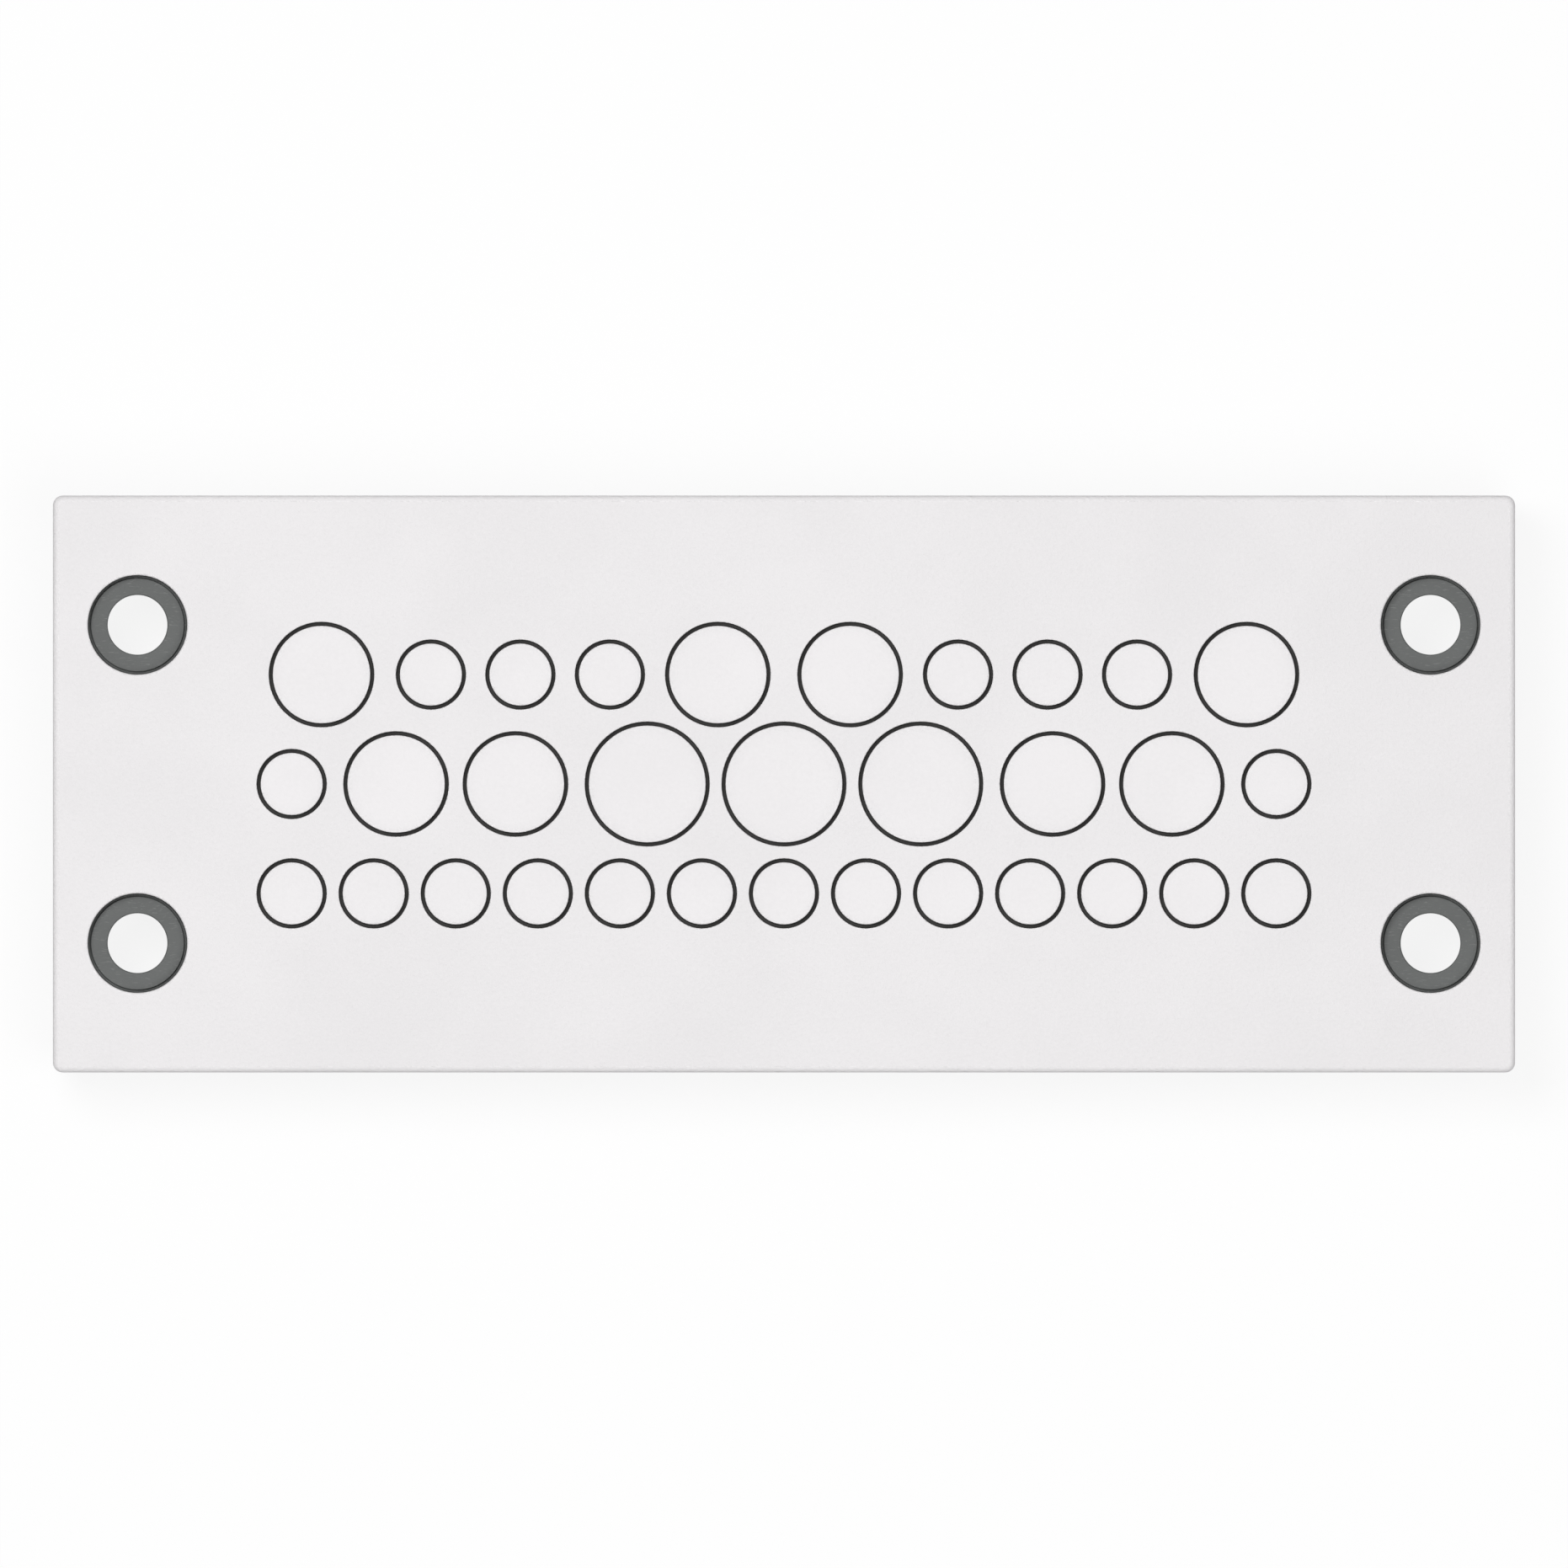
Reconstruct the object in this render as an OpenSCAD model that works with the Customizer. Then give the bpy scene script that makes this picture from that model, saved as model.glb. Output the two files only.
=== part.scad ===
// Cable entry plate for a panel cut-out.
// A stiff core is covered with a soft elastomer mat that closes every cable entry with a membrane,
// and seals against the panel. The plate lies in X and Y with its front face towards +Z.
// Z = 0 is the panel face, and the origin is the centre of the four screw holes.

/* [Plate] */
// Length of the plate
plate_l = 147; // [140:1:160]
// Width of the plate
plate_w = 58; // [52:1:70]
// Thickness of the flange in front of the panel
flange_t = 8; // [7:0.5:12]
// Radius of the plate's corners
corner_r = 1; // [0.9:0.1:3]
// Radius of the edge round the front face
edge_r = 0.6; // [0.3:0.1:0.8]

/* [Mat] */
// Thickness of the mat in front of the core
skin_t = 1.6; // [1.3:0.1:2.5]
// Thickness of the mat round the core's edge
rim_t = 1.5; // [1:0.1:3]
// Radius of the core's corners inside the mat
core_r = 0.6; // [0.4:0.1:1.5]
// Thickness of the mat behind the core, where it meets the panel
gasket_t = 1.2; // [0.8:0.1:2]
// Radius of the sealing bead on the back of the mat
bead_r = 0.5; // [0.3:0.1:0.6]
// Distance from the panel cut-out to the middle of the sealing bead
bead_offset = 1.6; // [1:0.1:1.8]
// Depth of the bevel round each screw seat
lip = 0.2; // [0.1:0.05:0.25]

/* [Panel] */
// Length of the panel cut-out
cutout_l = 112; // [111:0.5:113]
// Width of the panel cut-out
cutout_w = 36; // [35.5:0.5:38]
// Gap between the spigot and each side of the panel cut-out
spigot_gap = 0.4; // [0.2:0.1:0.5]
// Reach of the spigot behind the panel face
spigot_depth = 6; // [4:0.5:10]
// Wall of the spigot
spigot_wall = 0.9; // [0.7:0.1:1]
// Outer radius of the spigot's corners
spigot_r = 3; // [2:0.5:5]
// Bevel that leads the spigot into the cut-out
spigot_lead = 0.6; // [0.3:0.1:0.8]
// Thickness of the core between the cable entries
web_t = 4; // [3:0.5:5]

/* [Screws] */
// Distance between the screws along the plate
screw_pitch_x = 130; // [128:1:132]
// Distance between the screws across the plate
screw_pitch_y = 32; // [26:1:36]
// Diameter of the screw holes
screw_hole_d = 6; // [5.3:0.1:6.6]
// Diameter of the bare seat under each screw head
screw_seat_d = 10; // [9:0.5:12]
// Diameter of the core's boss where it reaches the panel
screw_boss_d = 11; // [9:0.5:12]

/* [Cable entries] */
// Diameter of a small entry
small_d = 6.65; // [5:0.05:6.8]
// Diameter of a medium entry
medium_d = 10.2; // [9:0.1:10.4]
// Diameter of a large entry
large_d = 12.15; // [11:0.05:12.3]
// Distance between the rows of entries
row_pitch = 11; // [10.8:0.1:11.2]
// Number of entries in the bottom row
bottom_count = 13; // [9:1:13]
// Pitch of the entries in the bottom row
bottom_pitch = 8.25; // [8.1:0.05:8.4]
// Pitch of the large entries in the middle row
large_pitch = 13.75; // [13.5:0.05:13.9]
// Middle of the inner medium entry in the middle row
middle_inner_x = 27; // [26.8:0.1:27.2]
// Middle of the outer medium entry in the middle row
middle_outer_x = 39; // [38.8:0.1:39.2]
// Middle of the small entry at the end of the middle row
middle_end_x = 49.5; // [49:0.1:50]
// Middle of the inner medium entry in the top row
top_inner_x = 6.65; // [6:0.05:7]
// Middle of the outer medium entry in the top row
top_outer_x = 46.5; // [46:0.1:47]
// Middle of the first small entry in the top row
top_small_x = 17.5; // [17:0.1:18]
// Pitch of the small entries in the top row
top_small_pitch = 9; // [8.7:0.1:9.2]

/* [Membranes] */
// Width of the groove round each membrane
groove_w = 0.4; // [0.3:0.05:0.5]
// Width of the groove's floor
groove_floor_w = 0.3; // [0.2:0.05:0.35]
// Depth of the groove round each membrane
groove_depth = 0.7; // [0.4:0.1:0.9]
// Thickness of a membrane at its middle, where the cable pierces it
membrane_thin = 0.9; // [0.5:0.05:0.95]
// Radius of the level spot at a membrane's middle
pierce_r = 0.4; // [0.2:0.1:1]
// Distance that the core stands back from each entry's edge
core_setback = 0.3; // [0.2:0.05:0.35]
// Bevel round the rear mouth of each cable hole
hole_bevel = 0.15; // [0.1:0.05:0.2]

/* [Hidden] */
$fn = 64;

// Overlap that keeps cuts clear of shared faces, and a smaller one for cuts beside a wall
eps = 0.5;
fine_eps = 0.05;

// Heights of the core and of the membranes' thin middles
core_top = flange_t - skin_t;
tray_floor = core_top - web_t;
spigot_end = -spigot_depth;
membrane_peak = flange_t - membrane_thin;

// Outline of the core's flange and of the spigot
core_l = plate_l - 2 * rim_t;
core_w = plate_w - 2 * rim_t;
spigot_l = cutout_l - 2 * spigot_gap;
spigot_w = cutout_w - 2 * spigot_gap;

// Middle line of the sealing bead
bead_l = cutout_l + 2 * bead_offset;
bead_w = cutout_w + 2 * bead_offset;
bead_corner_r = spigot_r + spigot_gap + bead_offset;

// Screw positions
screw_places = [for (x = [-1, 1], y = [-1, 1]) [x * screw_pitch_x / 2, y * screw_pitch_y / 2]];

// Entry positions, as rows of middle x, middle y and diameter
top_row = [for (s = [-1, 1]) each [
    [s * top_inner_x, row_pitch, medium_d],
    [s * top_small_x, row_pitch, small_d],
    [s * (top_small_x + top_small_pitch), row_pitch, small_d],
    [s * (top_small_x + 2 * top_small_pitch), row_pitch, small_d],
    [s * top_outer_x, row_pitch, medium_d]
]];
middle_row = concat(
    [for (i = [-1 : 1]) [i * large_pitch, 0, large_d]],
    [for (s = [-1, 1]) each [
        [s * middle_inner_x, 0, medium_d],
        [s * middle_outer_x, 0, medium_d],
        [s * middle_end_x, 0, small_d]
    ]]
);
bottom_row = [for (i = [0 : bottom_count - 1])
    [(i - (bottom_count - 1) / 2) * bottom_pitch, -row_pitch, small_d]];
entries = concat(top_row, middle_row, bottom_row);

// Radius of the core's cable hole at an entry
function core_hole_r(d) = d / 2 + core_setback;

// Rectangle with round corners
module round_rect(l, w, r) {
    square([l - 2 * r, w], center = true);
    square([l, w - 2 * r], center = true);
    for (x = [-1, 1], y = [-1, 1])
        translate([x * (l / 2 - r), y * (w / 2 - r)]) circle(r);
}

// Upright block with round corners between two heights
module block(l, w, r, low, high) {
    translate([0, 0, low]) linear_extrude(high - low) round_rect(l, w, r);
}

// Carries a profile round a rectangle with round corners, x outwards from the corner's centre
module carry_round(l, w, r) {
    sx = l / 2 - r;
    sy = w / 2 - r;
    for (k = [0 : 3]) {
        px = (k == 0 || k == 3) ? sx : -sx;
        py = k < 2 ? sy : -sy;
        run = (k % 2 == 0) ? 2 * sx : 2 * sy;
        translate([px, py, 0]) rotate([0, 0, 90 * k]) rotate_extrude(angle = 90) children();
        translate([px, py, 0]) rotate([0, 0, 90 * (k + 1)]) rotate([90, 0, 0])
            mirror([0, 0, 1]) linear_extrude(run) children();
    }
}

// Part of the rim outside the corner centres, with the rounded front edge
module rim_profile() {
    square([corner_r - edge_r, flange_t]);
    square([corner_r, flange_t - edge_r]);
    translate([corner_r - edge_r, flange_t - edge_r]) intersection() {
        circle(edge_r);
        square(edge_r);
    }
}

// Whole outline of the flange, with the rounded front edge
module flange_body() {
    translate([corner_r - plate_l / 2, corner_r - plate_w / 2, 0])
        cube([plate_l - 2 * corner_r, plate_w - 2 * corner_r, flange_t]);
    carry_round(plate_l, plate_w, corner_r) rim_profile();
}

// Spigot as a solid block, with the bevel at its end
module spigot_body() {
    r = spigot_r;
    translate([r - spigot_l / 2, r - spigot_w / 2, spigot_end])
        cube([spigot_l - 2 * r, spigot_w - 2 * r, gasket_t - spigot_end]);
    carry_round(spigot_l, spigot_w, r)
        polygon([[0, spigot_end], [r - spigot_lead, spigot_end], [r, spigot_end + spigot_lead],
            [r, gasket_t], [0, gasket_t]]);
}

// Groove that parts a membrane from the skin round it, drawn in towards its floor
module groove(d) {
    draft = (groove_w - groove_floor_w) / 2 / groove_depth;
    low = groove_floor_w / 2;
    high = groove_w / 2 + draft * eps;
    translate([0, 0, flange_t - groove_depth])
        difference() {
            cylinder(r1 = d / 2 + low, r2 = d / 2 + high, h = groove_depth + eps);
            cylinder(r1 = d / 2 - low, r2 = d / 2 - high, h = groove_depth + eps);
        }
}

// Recess in the skin down to a screw seat, bevelled at the front face
module seat_recess() {
    translate([0, 0, core_top - eps]) cylinder(d = screw_seat_d, h = skin_t + 2 * eps);
    translate([0, 0, flange_t - lip])
        cylinder(d1 = screw_seat_d, d2 = screw_seat_d + 4 * lip, h = 2 * lip);
}

// Hollow behind a membrane, from the rim of the core's hole up to the membrane's thin middle
module membrane_hollow(d) {
    r = core_hole_r(d);
    slope = (r - pierce_r) / (membrane_peak - core_top);
    translate([0, 0, core_top - eps])
        cylinder(r1 = r + slope * eps, r2 = pierce_r, h = membrane_peak - core_top + eps);
}

// Cable hole through the core, bevelled at its rear mouth
module cable_hole(d) {
    r = core_hole_r(d);
    translate([0, 0, tray_floor - eps]) cylinder(r = r, h = web_t + 2 * eps);
    translate([0, 0, tray_floor - fine_eps])
        cylinder(r1 = r + hole_bevel + fine_eps, r2 = r, h = hole_bevel + fine_eps);
}

// Stiff core with the screw bosses and the spigot
module core_plate() {
    color([0.42, 0.42, 0.42])
    difference() {
        union() {
            block(core_l, core_w, core_r, gasket_t, core_top);
            spigot_body();
            for (p = screw_places)
                translate([p[0], p[1], 0]) cylinder(d = screw_boss_d, h = gasket_t);
        }
        block(spigot_l - 2 * spigot_wall, spigot_w - 2 * spigot_wall, spigot_r - spigot_wall,
            spigot_end - eps, tray_floor);
        for (e = entries)
            translate([e[0], e[1], 0]) cable_hole(e[2]);
        for (p = screw_places)
            translate([p[0], p[1], -eps]) cylinder(d = screw_hole_d, h = flange_t + 2 * eps);
    }
}

// Soft mat with the skin, rim, gasket and membranes
module membrane_mat() {
    color([0.93, 0.925, 0.925])
    difference() {
        union() {
            difference() {
                flange_body();
                block(core_l, core_w, core_r, gasket_t, core_top);
                block(spigot_l, spigot_w, spigot_r, -eps, gasket_t + eps);
                for (p = screw_places) {
                    translate([p[0], p[1], -eps]) cylinder(d = screw_boss_d, h = gasket_t + 2 * eps);
                    translate([p[0], p[1], 0]) seat_recess();
                }
            }
            carry_round(bead_l, bead_w, bead_corner_r) translate([bead_corner_r, 0]) circle(bead_r);
        }
        for (e = entries)
            translate([e[0], e[1], 0]) {
                membrane_hollow(e[2]);
                groove(e[2]);
            }
    }
}

core_plate();
membrane_mat();
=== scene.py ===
"""Dresses a cable entry plate: a soft mat of membranes moulded over a stiff core.

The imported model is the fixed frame. Both pieces are built again where their solids are, as smooth
mouldings with rounded edges and lips, and each gets its finish. Sizes here are in millimetres, and a mesh
is written in metres.
"""
import logging
from collections.abc import Mapping, Sequence
from dataclasses import dataclass, field
from enum import Enum
from typing import Any

import bpy
import numpy as np
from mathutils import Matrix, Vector
from mathutils.geometry import delaunay_2d_cdt
from numpy.typing import NDArray


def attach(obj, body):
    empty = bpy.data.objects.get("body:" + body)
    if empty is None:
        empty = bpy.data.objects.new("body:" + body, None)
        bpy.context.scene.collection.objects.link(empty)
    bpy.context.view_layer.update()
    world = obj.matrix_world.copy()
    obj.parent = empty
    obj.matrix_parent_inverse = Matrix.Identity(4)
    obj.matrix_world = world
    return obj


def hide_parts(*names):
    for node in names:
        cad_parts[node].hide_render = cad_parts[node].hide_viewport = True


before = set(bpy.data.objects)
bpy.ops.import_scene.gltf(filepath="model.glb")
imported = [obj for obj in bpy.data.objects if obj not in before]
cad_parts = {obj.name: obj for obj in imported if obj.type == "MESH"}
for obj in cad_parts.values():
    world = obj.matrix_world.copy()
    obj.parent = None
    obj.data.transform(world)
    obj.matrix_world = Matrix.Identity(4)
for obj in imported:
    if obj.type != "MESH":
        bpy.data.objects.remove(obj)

Floats = NDArray[np.float64]
Ints = NDArray[np.int64]
Flags = NDArray[np.bool_]
Point = tuple[float, float]
Span = tuple[float, float]
Colour = tuple[float, float, float]

METRES = 0.001
WHITE: Colour = (1.0, 1.0, 1.0)

# Longest step along a side, and distance between the inner points of a level face
SPACING = 2.5
# Shares of that distance which the inner points keep from the outline's box and from every loop
NET_MARGIN = 0.3
NET_CLEARANCE = 0.45
# Distance at which the net takes two points as one, and its choice of triangles inside the outline only
NET_TOLERANCE = 1e-6
NET_INSIDE = 1

# Points in one cell of this size become one, and the shift keeps round sizes off the cells' borders
WELD_CELL = 1e-4
WELD_SHIFT = 0.37

# Range that most values of a noise keep to
NOISE_RANGE: Span = (0.3, 0.7)

LOG = logging.getLogger("cable_entry_plate")


class EntrySize(Enum):
    """Named sizes of cable entry, each with the diameter of its groove's middle line in mm."""

    SMALL = 6.65
    MEDIUM = 10.2
    LARGE = 12.15

    @property
    def steps(self) -> int:
        """Steps round a circle of this size."""
        return {"SMALL": 48, "MEDIUM": 64, "LARGE": 72}[self.name]


class Mark(Enum):
    """Point attributes of a moulding that its finish reads."""

    GROOVE = "groove"
    MEMBRANE = "membrane"


@dataclass(frozen=True)
class Entry:
    """One cable entry: the middle of its membrane and its size."""

    x: float
    y: float
    size: EntrySize

    def path(self) -> "Path2D":
        """Ring round the entry's axis."""
        return ring(self.x, self.y, self.size.steps)


@dataclass(frozen=True)
class Profile:
    """A run of points in a cross-section, with the outward normal at each.

    The first coordinate is the distance outwards from the path that carries the profile, and the second is
    the height. The piece is on the left of the way the points go, so the normal is on their right.
    """

    points: Floats
    normals: Floats

    def __add__(self, other: "Profile") -> "Profile":
        """Puts another profile after this one, sharp where their normals differ."""
        return Profile(np.vstack((self.points, other.points)), np.vstack((self.normals, other.normals)))


def straight(start: Point, end: Point, steps: int = 1) -> Profile:
    """Straight run: points spaced evenly from start to end, with the normal on the right of their way.

    Args:
        start: First point, outwards and up, in mm.
        end: Last point, in mm.
        steps: Number of equal steps.

    Returns:
        The run as a profile.
    """
    a, b = np.array(start), np.array(end)
    points = a + np.linspace(0.0, 1.0, steps + 1)[:, None] * (b - a)
    along = (b - a) / np.linalg.norm(b - a)
    normal = np.array((along[1], -along[0]))
    return Profile(points, np.tile(normal, (steps + 1, 1)))


def bend(centre: Point, radius: float, start: float, end: float, steps: int) -> Profile:
    """Circular run: centre plus radius times the cosine and sine of an angle that goes evenly to its end.

    The normal is on the right of the way the points go: away from the centre on a run that turns left, and
    towards it on one that turns right.

    Args:
        centre: Centre of the arc, in mm.
        radius: Radius in mm.
        start: First angle in degrees.
        end: Last angle in degrees.
        steps: Number of equal steps.

    Returns:
        The arc as a profile.
    """
    angle = np.radians(np.linspace(start, end, steps + 1))
    outward = np.stack((np.cos(angle), np.sin(angle)), axis=1)
    return Profile(np.array(centre) + radius * outward, outward * (1.0 if end > start else -1.0))


def dished(radius: float, height: float, depth: float, steps: int) -> Profile:
    """Membrane's front from its edge to its middle, a shallow dish.

    The height falls by depth times the square of 1 - (r / radius) squared. The slope is nought at the edge
    and in the middle, so the dish runs smoothly out of the lip round it.

    Args:
        radius: Radius of the membrane's edge in mm.
        height: Height of that edge in mm.
        depth: Depth of the dish in mm.
        steps: Number of steps from edge to middle.

    Returns:
        The dish as a profile that ends on the axis.
    """
    r = radius * np.linspace(1.0, 0.0, steps + 1)
    inside = 1.0 - (r / radius) ** 2
    slope = 4.0 * depth * inside * r / radius ** 2
    normals = np.stack((-slope, np.ones_like(slope)), axis=1)
    normals /= np.linalg.norm(normals, axis=1, keepdims=True)
    return Profile(np.stack((r, height - depth * inside ** 2), axis=1), normals)


@dataclass(frozen=True)
class Path2D:
    """A closed path in plan: base points, and at each the direction that leads outwards."""

    bases: Floats
    outward: Floats

    def loop(self, distance: float) -> Floats:
        """Closed line of points at one distance outwards from the base points."""
        return self.bases + distance * self.outward


def ring(x: float, y: float, steps: int) -> Path2D:
    """Path round a point: every base is the point itself, and the direction turns once round.

    Args:
        x: Middle of the ring in mm.
        y: Middle of the ring in mm.
        steps: Steps round the ring.

    Returns:
        The path, so that a distance outwards is a radius.
    """
    angle = np.linspace(0.0, 2.0 * np.pi, steps, endpoint=False)
    return Path2D(np.tile((x, y), (steps, 1)), np.stack((np.cos(angle), np.sin(angle)), axis=1))


def oblong(length: float, width: float, radius: float, turn: int = 10, spacing: float = SPACING) -> Path2D:
    """Path round a rectangle with round corners: the bases run along the rectangle of the corners' centres.

    At a corner the base stays and the direction turns through 90 degrees. Along a side the direction stays
    and the base moves on in equal steps. A distance outwards equal to radius gives the rectangle itself.

    Args:
        length: Length along X in mm.
        width: Width along Y in mm.
        radius: Corner radius in mm.
        turn: Steps in each corner.
        spacing: Longest step along a side in mm.

    Returns:
        The path, counter-clockwise from the right-hand side.
    """
    half = np.array((length / 2.0 - radius, width / 2.0 - radius))
    signs = np.array(((1, 1), (-1, 1), (-1, -1), (1, -1)))
    bases, outward = [], []
    for corner in range(4):
        here, beyond = signs[corner] * half, signs[(corner + 1) % 4] * half
        angle = np.radians(90.0 * corner + np.linspace(0.0, 90.0, turn + 1))
        count = int(np.ceil(np.linalg.norm(beyond - here) / spacing))
        along = np.linspace(0.0, 1.0, count + 1)[1:-1, None]
        bases += [np.tile(here, (turn + 1, 1)), here + along * (beyond - here)]
        turned = np.stack((np.cos(angle), np.sin(angle)), axis=1)
        outward += [turned, np.tile(turned[-1], (len(along), 1))]
    return Path2D(np.vstack(bases), np.vstack(outward))


@dataclass(frozen=True)
class Patch:
    """One surface of a piece: points, normals, four-sided and three-sided faces, and marks at each point."""

    points: Floats
    normals: Floats
    quads: Ints
    triangles: Ints
    marks: Mapping[Mark, Floats] = field(default_factory=dict)


def carry(profile: Profile, path: Path2D, marks: Mapping[Mark, Floats] | None = None) -> Patch:
    """Profile carried along a closed path: point (i, j) is base i plus distance j outwards, at height j.

    Args:
        profile: Cross-section, distance outwards and height in mm.
        path: Closed path in plan.
        marks: Values of the marks at each point of the profile.

    Returns:
        A grid of four-sided faces that closes on itself along the path.
    """
    m, n = len(path.bases), len(profile.points)
    plan = path.bases[:, None, :] + profile.points[None, :, :1] * path.outward[:, None, :]
    height = np.broadcast_to(profile.points[None, :, 1:], (m, n, 1))
    lean = profile.normals[None, :, :1] * path.outward[:, None, :]
    rise = np.broadcast_to(profile.normals[None, :, 1:], (m, n, 1))
    grid = np.arange(m * n).reshape(m, n)
    beyond = np.roll(grid, -1, axis=0)
    quads = np.stack((grid[:, :-1], beyond[:, :-1], beyond[:, 1:], grid[:, 1:]), axis=-1).reshape(-1, 4)
    return Patch(
        np.concatenate((plan, height), axis=2).reshape(-1, 3),
        np.concatenate((lean, rise), axis=2).reshape(-1, 3),
        quads,
        np.empty((0, 3), dtype=np.int64),
        {mark: np.tile(values, m) for mark, values in (marks or {}).items()},
    )


def within(points: Floats, loop: Floats) -> Flags:
    """Tells which points lie inside a loop: from them a line towards +X crosses it an odd number of times.

    Args:
        points: Points in plan.
        loop: Closed line of points.

    Returns:
        True for each point inside.
    """
    beyond = np.roll(loop, -1, axis=0)
    run, rise = (beyond - loop).T
    x, y = points[:, :1], points[:, 1:]
    spans = (loop[:, 1] > y) != (beyond[:, 1] > y)
    crossing = loop[:, 0] + (y - loop[:, 1]) * run / np.where(rise == 0.0, 1.0, rise)
    return (spans & (x < crossing)).sum(axis=1) % 2 == 1


def flat(
    outline: Floats,
    holes: Sequence[Floats],
    height: float,
    up: bool,
    spacing: float = SPACING,
) -> Patch:
    """Level face with holes: a constrained Delaunay net over the loops and a staggered grid between them.

    Args:
        outline: Outer loop of points in mm.
        holes: Loops that bound the holes, in mm.
        height: Height of the face in mm.
        up: True where the face looks up.
        spacing: Distance between the points of the grid in mm.

    Returns:
        The face as triangles.
    """
    loops = [outline, *holes]
    rim = np.vstack(loops)
    margin = NET_MARGIN * spacing
    low, high = outline.min(axis=0) + margin, outline.max(axis=0) - margin
    gx, gy = np.meshgrid(np.arange(low[0], high[0], spacing), np.arange(low[1], high[1], spacing))
    gx = gx + spacing / 2.0 * (np.arange(gx.shape[0]) % 2)[:, None]
    grid = np.stack((gx.ravel(), gy.ravel()), axis=1)
    away = np.linalg.norm(grid[:, None, :] - rim[None, :, :], axis=2).min(axis=1)
    grid = grid[within(grid, outline) & (away > NET_CLEARANCE * spacing)]
    plan = np.vstack((rim, grid))
    starts = np.cumsum([0] + [len(loop) for loop in loops])
    counts = [np.arange(len(loop)) for loop in loops]
    edges = np.vstack([np.column_stack((s + c, s + np.roll(c, -1))) for s, c in zip(starts, counts)])
    net = delaunay_2d_cdt(plan.tolist(), edges.tolist(), [], NET_INSIDE, NET_TOLERANCE)
    found, _, faces, *_ = net
    if len(found) != len(plan):
        raise ValueError("two loops of a level face touch or cross")
    triangles = np.array(faces, dtype=np.int64)
    middles = plan[triangles].mean(axis=1)
    in_hole = np.any([within(middles, hole) for hole in holes], axis=0)
    side = 1.0 if up else -1.0
    return Patch(
        np.column_stack((plan, np.full(len(plan), height))),
        np.tile((0.0, 0.0, side), (len(plan), 1)),
        np.empty((0, 4), dtype=np.int64),
        triangles[~in_hole],
    )


def turned_out(faces: Ints, points: Floats, normals: Floats) -> Ints:
    """Turns round each face whose own normal is against the normals of its points.

    Args:
        faces: Faces of three or four points.
        points: Points in mm.
        normals: Outward normal at each point.

    Returns:
        The faces, all counter-clockwise seen from outside.
    """
    corner = points[faces]
    own = np.cross(corner[:, 1] - corner[:, 0], corner[:, -1] - corner[:, 0])
    against = np.einsum("ij,ij->i", own, normals[faces].mean(axis=1)) < 0.0
    return np.where(against[:, None], faces[:, ::-1], faces)


def moulding(name: str, patches: Sequence[Patch]) -> bpy.types.Object:
    """Joins patches into one closed mesh: points that coincide become one, and faces turn to their normals.

    A four-sided face with one side of no length, at a pole, becomes three-sided.

    Args:
        name: Name of the object.
        patches: Surfaces in mm that together bound the piece.

    Returns:
        The object, at the origin, with the patches' own normals and a point attribute for each mark.
    """
    first = np.cumsum([0] + [len(p.points) for p in patches])
    points = np.vstack([p.points for p in patches])
    normals = np.vstack([p.normals for p in patches])
    quads = np.vstack([p.quads + s for p, s in zip(patches, first)])
    triangles = np.vstack([p.triangles + s for p, s in zip(patches, first)])

    keys = np.floor(points / WELD_CELL + WELD_SHIFT).astype(np.int64)
    _, kept, welded = np.unique(keys, axis=0, return_index=True, return_inverse=True)
    welded = welded.reshape(-1)

    short = welded[quads] == welded[np.roll(quads, -1, axis=1)]
    whole = quads[~short.any(axis=1)]
    pole = short.sum(axis=1) == 1
    halves, first_short = quads[pole], np.argmax(short[pole], axis=1)
    # The three corners that follow the start of the short side
    turn = (first_short[:, None] + np.array((1, 2, 3))) % 4
    triangles = np.vstack((triangles, np.take_along_axis(halves, turn, axis=1)))

    whole = turned_out(whole, points, normals)
    triangles = turned_out(triangles, points, normals)
    corners = np.concatenate((whole.ravel(), triangles.ravel()))
    starts = np.concatenate((np.arange(len(whole)) * 4, whole.size + np.arange(len(triangles)) * 3))
    used, corner_points = np.unique(welded[corners], return_inverse=True)

    mesh = bpy.data.meshes.new(name)
    mesh.vertices.add(len(used))
    mesh.vertices.foreach_set("co", (points[kept][used] * METRES).astype(np.float32).ravel())
    mesh.loops.add(len(corners))
    mesh.loops.foreach_set("vertex_index", corner_points.reshape(-1).astype(np.int32))
    mesh.polygons.add(len(starts))
    mesh.polygons.foreach_set("loop_start", starts.astype(np.int32))
    mesh.update(calc_edges=True)
    mesh.polygons.foreach_set("use_smooth", np.ones(len(starts), dtype=bool))
    for mark in [mark for mark in Mark if any(mark in p.marks for p in patches)]:
        values = np.concatenate([p.marks.get(mark, np.zeros(len(p.points))) for p in patches])
        layer = mesh.attributes.new(mark.value, "FLOAT", "POINT")
        layer.data.foreach_set("value", values[kept][used].astype(np.float32))
    mesh.normals_split_custom_set(normals[corners])
    piece = bpy.data.objects.new(name, mesh)
    bpy.context.scene.collection.objects.link(piece)
    return piece


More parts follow.
